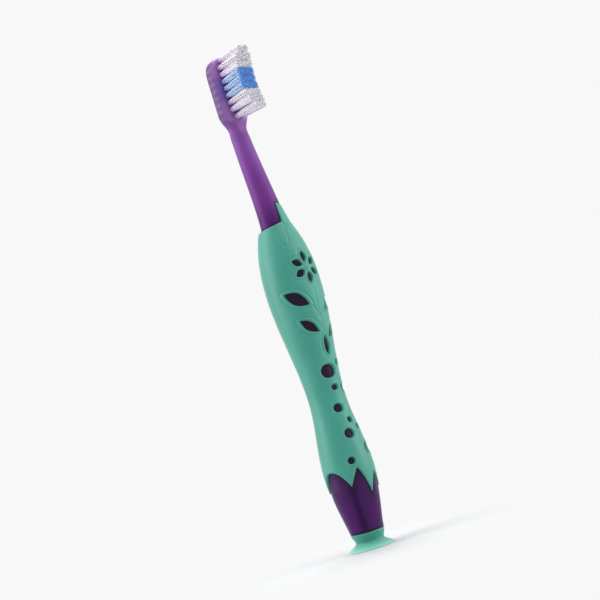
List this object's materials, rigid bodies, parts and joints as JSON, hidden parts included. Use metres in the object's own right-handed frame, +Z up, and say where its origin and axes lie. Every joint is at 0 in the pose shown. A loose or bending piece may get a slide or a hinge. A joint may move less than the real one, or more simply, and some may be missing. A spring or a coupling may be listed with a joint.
{
  "type": "manual toothbrush",
  "caption": "Child's manual toothbrush with a slim head, an angled neck, a soft windowed grip sleeve and a suction foot that it stands on.",
  "frame": {"origin": "centre of the foot's rim, in the plane that the brush stands on", "axes": "+Z up the handle to the head, the bristles face -Y, +X across the head"},
  "size_m": [0.0176, 0.0192, 0.158],
  "materials": {
    "translucent_purple": "polished, slightly see-through",
    "soft_teal": "satin soft rubber",
    "white_bristle": "fine nylon filaments",
    "blue_bristle": "fine nylon filaments",
    "anchor_metal": "rolled wire"
  },
  "bodies": {
    "root": {"handle_core": "translucent_purple", "grip_sleeve": "soft_teal", "suction_foot": "soft_teal", "tuft_anchors": "anchor_metal", "tuft_row_01_left": "white_bristle", "tuft_row_01_right": "white_bristle", "tuft_row_02_left": "white_bristle", "tuft_row_02_middle": "white_bristle", "tuft_row_02_right": "white_bristle", "tuft_row_03_left": "white_bristle", "tuft_row_03_middle": "white_bristle", "tuft_row_03_right": "white_bristle", "tuft_row_04_left": "blue_bristle", "tuft_row_04_middle": "blue_bristle", "tuft_row_04_right": "blue_bristle", "tuft_row_05_left": "blue_bristle", "tuft_row_05_middle": "blue_bristle", "tuft_row_05_right": "blue_bristle", "tuft_row_06_left": "blue_bristle", "tuft_row_06_middle": "blue_bristle", "tuft_row_06_right": "blue_bristle", "tuft_row_07_left": "white_bristle", "tuft_row_07_middle": "white_bristle", "tuft_row_07_right": "white_bristle", "tuft_row_08_left": "white_bristle", "tuft_row_08_middle": "white_bristle", "tuft_row_08_right": "white_bristle", "tuft_row_09_left": "white_bristle", "tuft_row_09_right": "white_bristle"}
  },
  "joints": []
}
